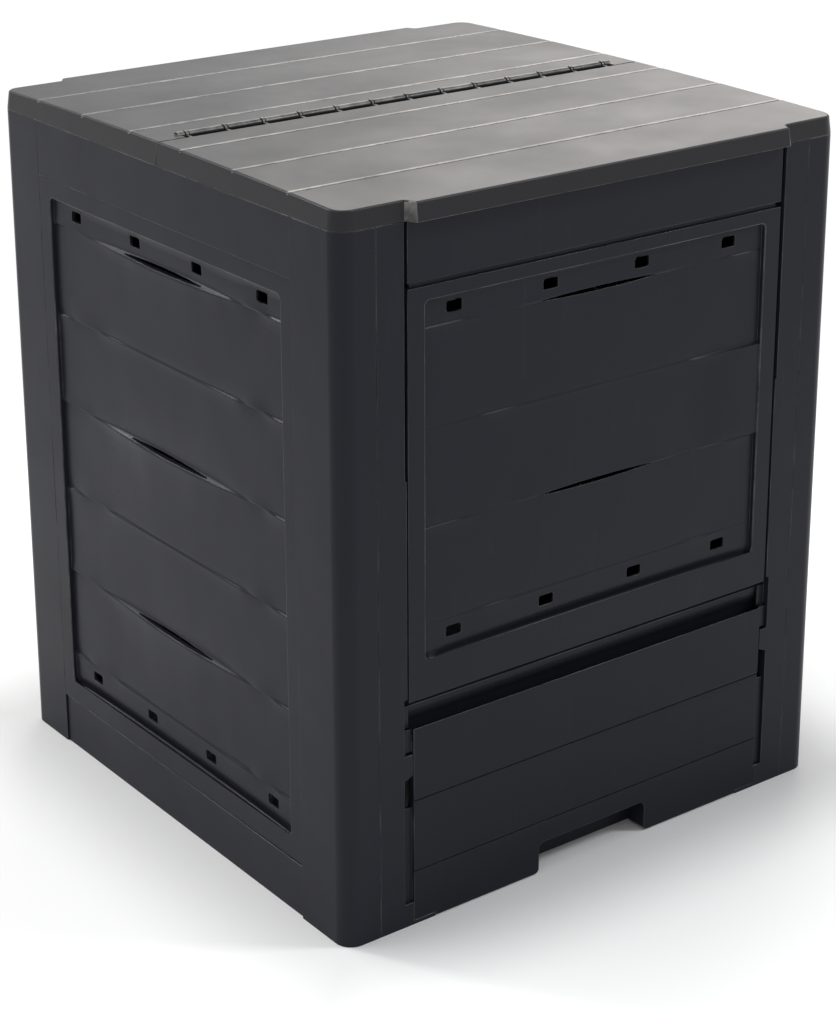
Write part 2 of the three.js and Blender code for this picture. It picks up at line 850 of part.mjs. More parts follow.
function part(name, solid, finish) {
  const mesh = new THREE.Mesh(asGeometry(solid), new THREE.MeshStandardMaterial(finishes[finish]));
  mesh.name = name;
  return mesh;
}

// A group that stands where a wall stands, so that its pieces keep the wall's own frame.
function wallGroup(wall, pieces) {
  const inner = new THREE.Group();
  inner.position.set(-wall.length / 2, -wall.distance, 0);
  inner.add(...pieces);
  const outer = new THREE.Group();
  outer.rotation.z = wall.turn;
  outer.add(inner);
  return outer;
}

function corner(name, turn, legs, [x, y]) {
  const mesh = part(name, cornerPost(...legs), "body");
  mesh.rotation.z = turn;
  mesh.position.set(x, y, 0);
  return mesh;
}

function plainWall(side, panelName) {
  const wall = walls[side];
  const { length } = wall;
  const railFit = sideFit(0);
  const panelFit = sideFit(sideFace);
  const rail = { length, fit: railFit, bottom: railBottom, panelFace: sideFace, clips: clipsOf(wall) };
  const panel = {
    length,
    fit: panelFit,
    bottom: plinthTop,
    top: railBottom - touchGap,
    frame: sideFrame,
    fieldBottom: plinthTop + lowFrame,
    ventInsets: [ventFarInset, ventNearInset],
  };
  return wallGroup(wall, [
    part(`upper_rail_${side}`, upperRail(rail), "body"),
    part(panelName, boardPanel(panel), "body"),
    part(`lower_rail_${side}`, lowerRail(length), "body"),
  ]);
}

function frontWall() {
  const length = bodyWidth;
  const rail = { length, fit: frontFit, bottom: frontRailBottom, panelFace: frontFace, clips: [] };
  const panel = {
    length,
    fit: frontFit,
    bottom: frontPanelBottom,
    top: frontPanelTop,
    frame: panelReveal + frontFrame,
    fieldBottom: frontPanelBottom + frontLowFrame,
    ventInsets: [ventNearInset, ventFarInset],
  };
  const stile = frontStile();
  const rightStile = part("front_stile_right", stile, "body");
  rightStile.scale.x = -1;
  rightStile.position.x = length;
  return wallGroup(walls.front, [
    part("upper_rail_front", upperRail(rail), "body"),
    part("front_panel", boardPanel(panel), "body"),
    part("front_stile_left", stile, "body"),
    rightStile,
    part("door_lintel", doorLintel(), "body"),
    part("harvest_door", harvestDoor(), "door"),
  ]);
}

const bin = new THREE.Group();
const halfX = bodyWidth / 2;
const halfY = bodyDepth / 2;
const sideLegs = [postSideLeg, postSideLeg];
bin.add(
  corner("corner_post_front_left", 0, [postFrontLeg, postSideLeg], [-halfX, -halfY]),
  corner("corner_post_front_right", Math.PI / 2, [postSideLeg, postFrontLeg], [halfX, -halfY]),
  corner("corner_post_rear_right", Math.PI, sideLegs, [halfX, halfY]),
  corner("corner_post_rear_left", -Math.PI / 2, sideLegs, [-halfX, halfY]),
  frontWall(),
  plainWall("left", "side_panel_left"),
  plainWall("right", "side_panel_right"),
  plainWall("rear", "rear_panel"),
  part("lid_front_half", lidFrontHalf(), "lid"),
  part("lid_rear_half", lidRearHalf(), "lid"),
);

export default bin;
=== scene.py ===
"""Garden compost bin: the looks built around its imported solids, laid out as an add-on."""

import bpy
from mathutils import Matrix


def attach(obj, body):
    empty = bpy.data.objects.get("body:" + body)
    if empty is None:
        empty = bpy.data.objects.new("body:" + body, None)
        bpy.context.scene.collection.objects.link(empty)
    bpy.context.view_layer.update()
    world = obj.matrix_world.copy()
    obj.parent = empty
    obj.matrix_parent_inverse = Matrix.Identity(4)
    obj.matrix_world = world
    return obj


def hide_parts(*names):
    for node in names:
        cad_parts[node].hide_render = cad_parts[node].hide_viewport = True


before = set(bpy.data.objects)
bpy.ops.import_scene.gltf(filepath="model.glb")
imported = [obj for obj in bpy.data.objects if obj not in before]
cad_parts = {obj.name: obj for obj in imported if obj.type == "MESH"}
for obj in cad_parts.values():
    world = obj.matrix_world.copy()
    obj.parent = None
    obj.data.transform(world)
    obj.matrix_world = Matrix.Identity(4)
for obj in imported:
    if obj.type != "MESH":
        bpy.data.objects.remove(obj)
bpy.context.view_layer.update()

import math

import bmesh
import bpy
from mathutils import Vector

bl_info = {
    "name": "Compost Bin",
    "version": (1, 0, 0),
    "blender": (4, 5, 0),
    "location": "3D View > Sidebar > Compost Bin",
    "description": "Builds the moulded pieces, finishes and stage of a garden compost bin",
    "category": "Object",
}

MM = 0.001

# The stage, in metres and degrees; the camera's place and angle fit the photograph
FLOOR_SIZE = 60
LIT_SHARE = 0.5
LAMP_DISTANCE = 3
# Lamps: name, direction, spread, strength and colour
LAMPS = (
    ("soft_light_above", (-0.2, 0.25, 1.0), 26, 0.85, (1.0, 1.0, 1.0)),
    ("warm_light_behind", (0.66, 0.64, 0.46), 26, 0.5, (1.0, 0.95, 0.9)),
    ("strip_light_left", (-0.4, 0.75, 0.5), 10, 0.7, (1.0, 1.0, 1.0)),
    ("strip_light_right", (0.575, -0.42, 0.69), 10, 0.7, (0.95, 0.97, 1.0)),
)
CAMERA_PLACE = (-1.466, -1.973, 1.287)
CAMERA_PITCH = 18.386
CAMERA_YAW = 37.246
CAMERA_LENS = 86.7
CAMERA_SHIFT = (-0.0187, -0.17)
CAMERA_REACH = 100

# Sizes of the solids that the pieces follow, in metres
HALF_WIDTH = 0.305
LID_EDGE = 0.7235
SPLIT_PLACE = -0.005
GROOVE_HALF = 0.0015
SHOULDER = 0.003
HINGE_HALF = 0.27
HINGE_DEPTHS = (-0.006, 0.0135)
LIP_ENDS = (0.2265, 0.2365)
BOARD_JOINTS = (0.6, 0.503, 0.406, 0.309, 0.212, 0.115)
DOOR_JOINTS = (0.1335, 0.058)
DOOR_TOP = 0.209
DOOR_SKIN = 0.0026
DOOR_FRONT = 0.0018
DOOR_INNER = 0.2257
FRONT_DEPTH = 0.001
SIDE_DEPTH = 0.002
STILE_EDGE = 0.236
STILE_LEVELS = (0.241, 0.46)
LINTEL_LEVELS = (0.196, 0.2369)
LINTEL_END = 0.2357
LINTEL_CLEAR = 0.006
LINTEL_FRONT = 0.004
BOARD_WALL = 0.0026
SKIN_WALL = 0.0032
FIELD_MARGIN = 0.01
JOINT_CLEAR = 0.011
LOW_ZONE = 0.04
VENT_HALF = 0.0055
VENT_LEVELS = (0.012, 0.019)
GROOVE_DEPTH = 0.0014
SLIT_DROP = 0.0006
PANEL_EDGES = (0.074, 0.536)
LID_GROOVES = (0.227, 0.137, 0.047)
LID_FAR_EDGES = [way * groove + GROOVE_HALF for groove in LID_GROOVES for way in (-1, 1)]
LID_GROOVE_DEPTH = 0.003

# The lid's upper outline: how far down, in and from the hinge its edges lie, and their faces' slopes
RIM_DROP = 0.002
RIM_SIDE = 0.004
RIM_BAND = (0.03, 0.005)
RIM_ANGLE = math.radians(40)
RIM_UPRIGHT = 0.3
RIM_LEVEL = 0.6

# The lid's places with a painted highlight: how far down they reach, and how their faces slope
SHOULDER_DROP = 0.0012
SHOULDER_LEVEL = 0.8
LID_WALL_DROP = 0.004
HINGE_UP = 0.35
HINGE_AREA = 0.0003

# Tolerances for picking, cutting and merging, and the angles of flat, hard and smoothed edges
NEAR = 0.0002
CUT = 0.00001
MERGE = 0.000003
BEVEL_REACH = 0.0006
BOARD_REACH = 0.0003
WAVE_REACH = 0.0009
FLAT = math.radians(0.05)
SHARP = math.radians(30)
SMOOTH = math.radians(50)

# How much of a face's normal runs along a direction that the face leans to, or faces
LEANS = 0.5
FACES = 0.9

# Each wall: the direction to its right as seen from outside, and the direction inward
WALLS = {
    "front": (Vector((1, 0, 0)), Vector((0, 1, 0))),
    "left": (Vector((0, -1, 0)), Vector((1, 0, 0))),
    "right": (Vector((0, 1, 0)), Vector((-1, 0, 0))),
    "rear": (Vector((-1, 0, 0)), Vector((0, -1, 0))),
}

# The shoulder between two boards, as pairs of a share of the field's length and a height in mm.
# Above zero the lower board's edge leans back under the upper one and catches the light;
# below zero the upper board stands a little proud and the joint is a dark line.
SIDE_ODD_JOINT = ((0, -1.4), (0.11, -1.2), (0.16, 1.2), (0.32, 4.5), (0.42, 7.0), (0.58, 7.0),
                  (0.68, 4.5), (0.82, 1.4), (0.85, -1.2), (0.9, -1.2), (0.94, 2.2), (1, 2.6))
SIDE_EVEN_JOINT = ((0, 2.6), (0.06, 2.0), (0.1, -1.4), (0.18, -1.2), (0.23, 2.0), (0.4, 1.4),
                   (0.6, 1.4), (0.81, 2.2), (0.86, -1.6), (0.9, -1.4), (0.94, 2.2), (1, 2.6))
FRONT_ODD_JOINT = ((0, 2.0), (0.1, 2.0), (0.16, 0.0), (0.25, 0.0), (0.29, -0.8),
                   (0.33, -0.9), (0.36, 0.0), (0.64, 0.0), (0.67, -0.9), (0.71, -0.8),
                   (0.75, 0.0), (0.86, 0.0), (0.91, 2.2), (0.97, 2.0), (1, 0.6))
FRONT_EVEN_JOINT = ((0, 0.4), (0.14, 0.8), (0.17, 2.2), (0.22, 2.0), (0.3, 1.2), (0.48, 1.0),
                    (0.55, 0.6), (0.74, 0.8), (0.8, 2.2), (0.85, 2.0), (0.9, 0.6), (1, 0.4))

# How a shoulder's height is shared out, with its limits and fades; the lengths are in mm
SHOULDER_ABOVE = 0.45
SHOULDER_BELOW = 0.55
STEP_SLOPE = 0.9
STEP_LIMIT = 5
PROUD_SHARE = 0.6
DIP_SHARE = 0.4
PROUD_FADE = 3.2
DIP_FADE = 2.4
PROUD_RIM = 0.9
SUNK_RIM = 0.5
STEP_FADE = 9
LEAST_STEP = 0.01

# Levels of the cuts beside a board joint and above the recess's foot, in mm
JOINT_ROWS = (-14, -10, -7, -5, -3.4, -2.2, -1, 1, 2.2, 3.4, 5, 7, 10, 14)
DOOR_ROWS = (-9, -6, -4, -2.6, 2.6, 4, 6, 9)
LOW_ROWS = (1.5, 3, 5, 7.5, 10.5, 14, 20)

# How far the door's boards step and the lowest board's lip sinks, fades and drops, in mm
DOOR_STEP = 1.0
LOW_DIP = 5
LOW_FADE = 4.5
LOW_DROP = 9

# A front board's lifted end and the lintel's lean, as pairs of a share of the length and of the depth
END_LINE = ((0, 0), (0.78, 0), (0.97, 1), (1, 1))
LINTEL_LINE = ((0, 1), (0.34, 1), (0.58, 0.15), (0.7, 0), (0.82, 0), (0.9, 0.7), (1, 0.9))

# Shares of a board field's length between which its air slits lie
SLIT_SHARES = (0.29, 0.71)

# How many edges the corners of a panel's recess and vents have, and in how many rows the lintel is cut
RECESS_CORNERS = 4
VENT_CORNERS = 32
LINTEL_CUTS = 10

# Board panels: wall, node, recessed field (left, right, bottom, top), depth of its face and of the frame
PANELS = (
    ("front", "front_panel", (0.095, 0.515, 0.276, 0.627), 0.006, FRONT_DEPTH),
    ("left", "side_panel_left", (0.095, 0.515, 0.081, 0.627), 0.007, SIDE_DEPTH),
    ("right", "side_panel_right", (0.095, 0.515, 0.081, 0.627), 0.007, SIDE_DEPTH),
    ("rear", "rear_panel", (0.095, 0.515, 0.081, 0.627), 0.007, SIDE_DEPTH),
)

FRAME_MEMBERS = (
    "corner_post_front_left", "corner_post_front_right",
    "corner_post_rear_left", "corner_post_rear_right",
    "upper_rail_front", "upper_rail_left", "upper_rail_right", "upper_rail_rear",
    "lower_rail_left", "lower_rail_right", "lower_rail_rear",
    "front_stile_left", "front_stile_right", "door_lintel",
)


def linear(colour):
    """Linear RGB of an sRGB hex colour."""
    parts = [int(colour[i:i + 2], 16) / 255 for i in (1, 3, 5)]
    return [c / 12.92 if c <= 0.04045 else ((c + 0.055) / 1.055) ** 2.4 for c in parts]


# Picking and shaping

def work_on(piece, mode="EDIT"):
    """Makes one piece the only selected and active one, with nothing selected in it."""
    if bpy.context.object and bpy.context.object.mode != "OBJECT":
        bpy.ops.object.mode_set(mode="OBJECT")
    bpy.ops.object.select_all(action="DESELECT")
    piece.select_set(True)
    bpy.context.view_layer.objects.active = piece
    if mode == "EDIT":
        bpy.ops.object.mode_set(mode="EDIT")
        bpy.ops.mesh.select_all(action="DESELECT")


def pick(piece, kind, test):
    """Selects the vertices, edges or faces of a piece in edit mode that pass a test."""
    bpy.ops.mesh.select_mode(type={"verts": "VERT", "edges": "EDGE", "faces": "FACE"}[kind])
    bpy.ops.mesh.select_all(action="DESELECT")
    mesh = bmesh.from_edit_mesh(piece.data)
    found = 0
    for element in getattr(mesh, kind):
        if test(element):
            element.select_set(True)
            found += 1
    mesh.select_flush_mode()
    bmesh.update_edit_mesh(piece.data)
    return found


def merged_copy(node):
    """A copy of a CAD node's mesh with merged triangles, and slots for its plain finish and for the pale
    finish that paints edge wear and a highlight.
    """
    piece = bpy.data.objects.new(node + "_moulding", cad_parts[node].data.copy())
    bpy.context.scene.collection.objects.link(piece)
    while len(piece.data.materials) < 2:
        piece.data.materials.append(None)
    work_on(piece)
    bpy.ops.mesh.select_all(action="SELECT")
    bpy.ops.mesh.remove_doubles(threshold=MERGE)
    bpy.ops.mesh.dissolve_limited(angle_limit=FLAT)
    bpy.ops.object.mode_set(mode="OBJECT")
    return piece


def give_slot(piece, index):
    """Gives the picked faces of a piece in edit mode one of its two finishes."""
    piece.active_material_index = index
    bpy.ops.object.material_slot_assign()


def apply_modifier(piece, kind, **settings):
    """Adds a modifier with its settings and applies it."""
    work_on(piece, "OBJECT")
    modifier = piece.modifiers.new(kind.lower(), kind)
    for key, value in settings.items():
        setattr(modifier, key, value)
    bpy.ops.object.modifier_apply(modifier=modifier.name)


def round_edges(piece, width):
    """Gives every hard edge the small radius that a mould leaves, in the pale finish that paints edge wear
    and a highlight on it.
    """
    apply_modifier(
        piece, "BEVEL", width=width, segments=2, limit_method="ANGLE",
        angle_limit=SHARP, use_clamp_overlap=False, material=1,
    )


def finish_piece(piece, node, body, materials):
    """Smooth shading with flat faces kept flat, then the finish and its place in the frame."""
    work_on(piece, "OBJECT")
    bpy.ops.object.shade_smooth_by_angle(angle=SMOOTH)
    apply_modifier(piece, "WEIGHTED_NORMAL", keep_sharp=True)
    for index, finish in enumerate(materials):
        piece.data.materials[index] = finish
    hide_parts(node)
    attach(piece, body)


def cut_across(piece, chosen, planes):
    """Cuts the chosen faces of a piece in edit mode by planes of place and normal."""
    for place, normal in planes:
        pick(piece, "faces", chosen)
        bpy.ops.mesh.bisect(plane_co=place, plane_no=normal, threshold=CUT)


def level_planes(heights):
    """Level cutting planes at the given heights."""
    return [(Vector((0, 0, height)), Vector((0, 0, 1))) for height in heights]


def eased(points, share):
    """Value of a line at a share of its length, eased between its points."""
    for (a, low), (b, high) in zip(points, points[1:]):
        if share <= b:
            t = max(0.0, (share - a) / (b - a))
            return low + (high - low) * t * t * (3 - 2 * t)
    return points[-1][1]


def push(piece, moves, direction):
    """Moves vertices along an axis, each by its own amount, through a vertex group."""
    axis = max(range(3), key=lambda i: abs(direction[i]))
    for way in (1, -1):
        chosen = {index: way * amount for index, amount in moves.items() if way * amount > 0}
        limit = max(chosen.values(), default=0)
        if not limit:
            continue
        group = piece.vertex_groups.new(name="push")
        for index, amount in chosen.items():
            group.add([index], amount / limit, "REPLACE")
        apply_modifier(
            piece, "DISPLACE", vertex_group="push", direction="XYZ"[axis],
            strength=way * limit * math.copysign(1, direction[axis]), mid_level=0,
        )
        piece.vertex_groups.clear()


# Materials

# Sockets of a colour Mix node, whose names are shared with its other data types
MIX_A, MIX_B = 6, 7
MIX_RESULT = 2

# Polypropylene's own IOR is 1.49, but its spark-eroded grain scatters part of the sheen
GRAINED_IOR = 1.33
RUB_LIFT = 1.7
# The pale edge finish is glossier and shinier than the plain one, and paints wear and a highlight on edges
PALE_EDGE_GLOSS = 0.08
PALE_EDGE_SHEEN = 0.2
WALL_SHEEN = 0.2
LID_SHEEN = 0.4
WALL_WAVE = 1.2 * MM
LID_WAVE = 0.4 * MM

# Sizes of the patterns on the plastic
FLOW_SIZE = 125 * MM
WAVE_SIZE = 62.5 * MM
GRAIN_SIZE = 1.4286 * MM
GRAIN_HEIGHT = 0.4 * MM
STREAK_SIZES = (11.11 * MM, 11.11 * MM, 71.43 * MM)
PATCH_SIZE = 45.45 * MM


def add_node(tree, kind, settings=None, numbered=None, **named):
    """Adds a node with its settings and its inputs, each a value or another node's output."""
    node = tree.nodes.new(kind)
    for key, value in (settings or {}).items():
        setattr(node, key, value)
    inputs = {key.replace("_", " "): value for key, value in named.items()}
    for key, value in {**inputs, **(numbered or {})}.items():
        socket = node.inputs[key]
        if isinstance(value, bpy.types.NodeSocket):
            tree.links.new(value, socket)
        else:
            socket.default_value = value
    return node


def moulded_polypropylene(name, base, roughness, specular, wave_depth, rubbed=None):
    """Injection-moulded polypropylene, dyed through: a satin skin with a fine spark-eroded grain,
    slow changes of gloss where the melt flowed, and faint rub marks from handling."""
    material = bpy.data.materials.new(name)
    material.use_nodes = True
    tree = material.node_tree
    tree.nodes.clear()
    place = add_node(tree, "ShaderNodeTexCoord").outputs["Object"]
    # Flow marks change the gloss slowly, as on large thin mouldings.
    flow = add_node(
        tree, "ShaderNodeTexNoise", Vector=place, Scale=1 / FLOW_SIZE, Detail=3.0, Roughness=0.55)
    gloss = add_node(
        tree, "ShaderNodeMapRange", Value=flow.outputs["Fac"],
        From_Min=0.3, From_Max=0.7, To_Min=roughness - 0.06, To_Max=roughness + 0.05,
    )
    # Grain pits of about 0.5 mm are drawn at 1.4 mm, which is as fine as the picture shows.
    grain = add_node(
        tree, "ShaderNodeTexNoise", Vector=place, Scale=1 / GRAIN_SIZE, Detail=2.0, Roughness=0.6)
    # Slight waves, some tenths of a millimetre deep, come from uneven cooling.
    wave = add_node(
        tree, "ShaderNodeTexNoise", Vector=place, Scale=1 / WAVE_SIZE, Detail=1.0, Roughness=0.4)
    waved = add_node(
        tree, "ShaderNodeBump", Strength=0.6, Distance=wave_depth, Height=wave.outputs["Fac"])
    bump = add_node(
        tree, "ShaderNodeBump", Strength=0.18, Distance=GRAIN_HEIGHT,
        Height=grain.outputs["Fac"], Normal=waved.outputs["Normal"],
    )
    # Rub marks: thin streaks a few centimetres long that lift the black a little.
    turned = add_node(
        tree, "ShaderNodeMapping", Vector=place, Rotation=(0.3, 0.2, 0.5),
        Scale=[1 / size for size in STREAK_SIZES],
    )
    rub = add_node(
        tree, "ShaderNodeTexNoise", Vector=turned.outputs["Vector"], Scale=1.0, Detail=3.0, Roughness=0.6)
    marks = add_node(
        tree, "ShaderNodeMapRange", Value=rub.outputs["Fac"],
        From_Min=0.62, From_Max=0.78, To_Max=0.3,
    )
    lifted = [c * RUB_LIFT for c in base]
    paint = add_node(
        tree, "ShaderNodeMix", {"data_type": "RGBA"}, {MIX_A: (*base, 1), MIX_B: (*lifted, 1)},
        Factor=marks.outputs["Result"],
    ).outputs[MIX_RESULT]
    if rubbed:
        # Edges are painted pale in stretches of a few centimetres, with bare dark gaps between: partly wear
        # from handling, partly a painted highlight.
        patch = add_node(
            tree, "ShaderNodeTexNoise", Vector=place, Scale=1 / PATCH_SIZE, Detail=4.0, Roughness=0.65)
        worn_and_highlit = add_node(
            tree, "ShaderNodeMapRange", Value=patch.outputs["Fac"],
            From_Min=0.4, From_Max=0.62, To_Min=0.05, To_Max=1.0,
        )
        paint = add_node(
            tree, "ShaderNodeMix", {"data_type": "RGBA"}, {MIX_A: paint, MIX_B: (*rubbed, 1)},
            Factor=worn_and_highlit.outputs["Result"],
        ).outputs[MIX_RESULT]
    shader = add_node(
        tree, "ShaderNodeBsdfPrincipled", Base_Color=paint, Roughness=gloss.outputs["Result"],
        Normal=bump.outputs["Normal"], IOR=GRAINED_IOR, Specular_IOR_Level=specular,
    )
    add_node(tree, "ShaderNodeOutputMaterial", Surface=shader.outputs["BSDF"])


def finish_of(slot):
    """A material slot's plain finish and its pale finish, which paints edge wear and a highlight, made
    once.
    """
    colours = bpy.context.scene.compost_bin_colours
    part, base, roughness, sheen, wave_depth, rubbed = {
        "body": ("walls", colours.walls, colours.roughness, WALL_SHEEN, WALL_WAVE, colours.rubbed_edge),
        "door": ("door", colours.door, colours.roughness, WALL_SHEEN, WALL_WAVE, colours.rubbed_edge),
        "lid": ("lid", colours.lid, colours.lid_roughness, LID_SHEEN, LID_WAVE, colours.lid_rubbed_edge),
    }[slot]
    plain = f"moulded_polypropylene_{part}"
    worn_and_highlit = f"{plain}_rubbed_edge"
    if plain not in bpy.data.materials:
        moulded_polypropylene(plain, base, roughness, sheen, wave_depth)
        moulded_polypropylene(
            worn_and_highlit, base, roughness - PALE_EDGE_GLOSS, sheen + PALE_EDGE_SHEEN, wave_depth, rubbed)
    return bpy.data.materials[plain], bpy.data.materials[worn_and_highlit]


# Settings

class CompostBinSizes(bpy.types.PropertyGroup):
    """Sizes of the small forms on the mouldings."""

    edge_radius: bpy.props.FloatProperty(
        name="Edge radius", description="Radius on the mouldings' hard edges",
        default=0.5 * MM, min=0, unit="LENGTH", precision=4)
    fine_share: bpy.props.FloatProperty(
        name="Fine edge share", description="Share of the edge radius that the panels and the lid have",
        default=0.7, min=0, max=1, subtype="FACTOR")
    lid_edge_radius: bpy.props.FloatProperty(
        name="Lid edge radius", description="Radius on the lid's upper outline",
        default=2.2 * MM, min=0, unit="LENGTH", precision=4)
    recess_radius: bpy.props.FloatProperty(
        name="Recess corner radius", description="Corner radius of the recessed board fields",
        default=5 * MM, min=0, unit="LENGTH", precision=4)
    slit_share: bpy.props.FloatProperty(
        name="Slit height share",
        description="Share of an air slit's height that is open at the front",
        default=0.85, min=0.1, max=1, subtype="FACTOR")
    slit_length: bpy.props.FloatProperty(
        name="Slit length share", description="Share of an air slit's length that is open",
        default=0.88, min=0.1, max=1, subtype="FACTOR")
    slit_reach: bpy.props.FloatProperty(
        name="Slit reach",
        description="Half height of the zone round a joint that holds its slit",
        default=3.3 * MM, min=0, unit="LENGTH", precision=4)
    # Round a door joint the plain finish is kept, without the pale edge's painted highlight and wear
    joint_zone: bpy.props.FloatProperty(
        name="Joint zone",
        description="Half height of the zone round a door joint that stays unrubbed",
        default=3 * MM, min=0, unit="LENGTH", precision=4)
    top_sink: bpy.props.FloatProperty(
        name="Door top sink", description="How far the door's top return lies below its front edge",
        default=14 * MM, min=0, unit="LENGTH", precision=4)
    groove_deepening: bpy.props.FloatProperty(
        name="Lid groove deepening", description="How much deeper the lid's grooves are drawn",
        default=0.7 * MM, min=0, unit="LENGTH", precision=4)
    askew: bpy.props.FloatProperty(
        name="Panel askew",
        description="How far the left panel's rear edge stands out towards its post",
        default=1.9 * MM, min=0, unit="LENGTH", precision=4)
    outline_radius: bpy.props.FloatProperty(
        name="Recess outline radius",
        description="Radius along the outline of the recessed board fields",
        default=1.3 * MM, min=0, unit="LENGTH", precision=4)
    rail_joint: bpy.props.FloatProperty(
        name="Rail joint", description="How wide the joint above a lower rail stands open",
        default=1.6 * MM, min=0, unit="LENGTH", precision=4)
    joint_fill: bpy.props.FloatProperty(
        name="Stile joint fill",
        description="How far a front stile reaches towards the panel in the joint's lower part",
        default=3.8 * MM, min=0, unit="LENGTH", precision=4)
    lintel_lean: bpy.props.FloatProperty(
        name="Lintel lean", description="How far the lintel's lower edge leans back",
        default=7 * MM, min=0, unit="LENGTH", precision=4)
    door_lap: bpy.props.FloatProperty(
        name="Door board lap",
        description="How far down a door joint's groove is drawn behind the board below",
        default=2 * MM, min=0, unit="LENGTH", precision=4)
    groove_shoulder: bpy.props.FloatProperty(
        name="Lid groove shoulder",
        description="How far the lid's boards fall towards the groove in front of them",
        default=0.55 * MM, min=0, unit="LENGTH", precision=4)
    vent_radius: bpy.props.FloatProperty(
        name="Vent corner radius", description="Corner radius of the vent slots",
        default=2 * MM, min=0, unit="LENGTH", precision=4)
    joint_depth: bpy.props.FloatProperty(
        name="Joint depth share", description="Share of the solid's board groove that is kept",
        default=0.12, min=0, max=1, subtype="FACTOR")
    end_lift: bpy.props.FloatProperty(
        name="Board end lift",
        description="How far the second front board's right end stands out",
        default=3.2 * MM, min=0, unit="LENGTH", precision=4)
    wave_step: bpy.props.FloatProperty(
        name="Wave step", description="Spacing of the cuts that let a board wave",
        default=10 * MM, min=0.002, unit="LENGTH", precision=4)


class CompostBinColours(bpy.types.PropertyGroup):
    """Colours and gloss of the three finishes."""

    walls: bpy.props.FloatVectorProperty(
        name="Wall colour", description="Colour of the posts, rails and panels",
        default=linear("#24252c"), size=3, min=0, max=1, subtype="COLOR")
    door: bpy.props.FloatVectorProperty(
        name="Door colour", description="Colour of the harvest door",
        default=linear("#202128"), size=3, min=0, max=1, subtype="COLOR")
    lid: bpy.props.FloatVectorProperty(
        name="Lid colour", description="Colour of the lid",
        default=linear("#242427"), size=3, min=0, max=1, subtype="COLOR")
    # Pale colour painted on edges: partly wear from handling, partly a painted highlight
    rubbed_edge: bpy.props.FloatVectorProperty(
        name="Rubbed edge colour",
        description="Colour of the edges where handling has paled them",
        default=linear("#4c4c4f"), size=3, min=0, max=1, subtype="COLOR")
    # Pale colour painted on the lid's edges as wear, and on its groove shoulders and far walls, hinge top
    # and lip ends as a painted highlight
    lid_rubbed_edge: bpy.props.FloatVectorProperty(
        name="Lid rubbed edge colour",
        description="Colour of the lid's edges, grooves and hinge where they are rubbed",
        default=linear("#7e7c78"), size=3, min=0, max=1, subtype="COLOR")
    roughness: bpy.props.FloatProperty(
        name="Roughness", description="Roughness of the walls and door",
        default=0.33, min=0, max=1, subtype="FACTOR")
    lid_roughness: bpy.props.FloatProperty(
        name="Lid roughness", description="Roughness of the lid",
        default=0.36, min=0, max=1, subtype="FACTOR")


# Operators

class COMPOSTBIN_OT_frame_members(bpy.types.Operator):
    """Corner posts, rails, front stiles and door lintel, with the radii that a mould leaves"""

    bl_idname = "compost_bin.frame_members"
    bl_label = "Frame members"

    def execute(self, context):
        sizes = context.scene.compost_bin_sizes
        for node in FRAME_MEMBERS:
            piece = merged_copy(node)
            if node.startswith("front_stile"):
                self.close_joint(piece, sizes)
            if node == "door_lintel":
                self.lean_back(piece, sizes)
            if node.startswith("lower_rail"):
                self.open_joint(piece, WALLS[node.split("_")[-1]][1], sizes)
            round_edges(piece, sizes.edge_radius)
            finish_piece(piece, node, "body", finish_of("body"))
        return {"FINISHED"}

    def open_joint(self, piece, inward, sizes):
        """Lowers a lower rail's outer edge a little, which leaves a dark joint under the panel."""
        face = min(v.co.dot(inward) for v in piece.data.vertices)
        top = max(v.co.z for v in piece.data.vertices if v.co.dot(inward) < face + NEAR)
        work_on(piece)
        if not pick(piece, "verts", lambda v: abs(v.co.z - top) < NEAR
                    and v.co.dot(inward) < face + SKIN_WALL):
            raise RuntimeError("a lower rail has no upper edge")
        bpy.ops.transform.translate(value=(0, 0, -sizes.rail_joint))
        bpy.ops.object.mode_set(mode="OBJECT")

    def close_joint(self, piece, sizes):
        """Brings a stile's edge towards the front panel, and nearly shuts the joint's lower part."""
        side = math.copysign(1, sum(v.co.x for v in piece.data.vertices))
        work_on(piece)
        planes = level_planes(level + step for level in STILE_LEVELS for step in (0, MM))
        cut_across(piece, lambda f: abs(f.normal.z) < LEANS, planes)
        low, high = STILE_LEVELS
        self.widen(piece, low, high, -side * sizes.joint_fill)
        self.widen(piece, high, LID_EDGE, -side * sizes.joint_fill / 2)
        bpy.ops.object.mode_set(mode="OBJECT")

    def widen(self, piece, low, high, width):
        """Moves a stile's edge sideways between two heights, past the cut just above each."""
        pick(piece, "verts", lambda v: abs(abs(v.co.x) - STILE_EDGE) < NEAR
             and low + MM / 2 < v.co.z < high + MM / 2)
        bpy.ops.transform.translate(value=(width, 0, 0))

    def lean_back(self, piece, sizes):
        """Leans the lintel's lower part back behind the door, so that it falls into shadow."""
        low, high = LINTEL_LEVELS
        front = min(v.co.y for v in piece.data.vertices)
        work_on(piece)
        planes = level_planes(low + (high - low) * i / LINTEL_CUTS for i in range(1, LINTEL_CUTS))
        end = LINTEL_END - LINTEL_CLEAR
        planes += [(Vector((x, 0, 0)), Vector((1, 0, 0))) for x in (-end, end)]
        cut_across(piece, lambda f: abs(f.calc_center_median().x) < LINTEL_END - NEAR, planes)
        bpy.ops.object.mode_set(mode="OBJECT")
        moves = {}
        for vertex in piece.data.vertices:
            if abs(vertex.co.x) < end + MM and vertex.co.y < front + LINTEL_FRONT:
                share = (vertex.co.z - low) / (high - low)
                moves[vertex.index] = sizes.lintel_lean * eased(LINTEL_LINE, share)
        push(piece, moves, Vector((0, 1, 0)))


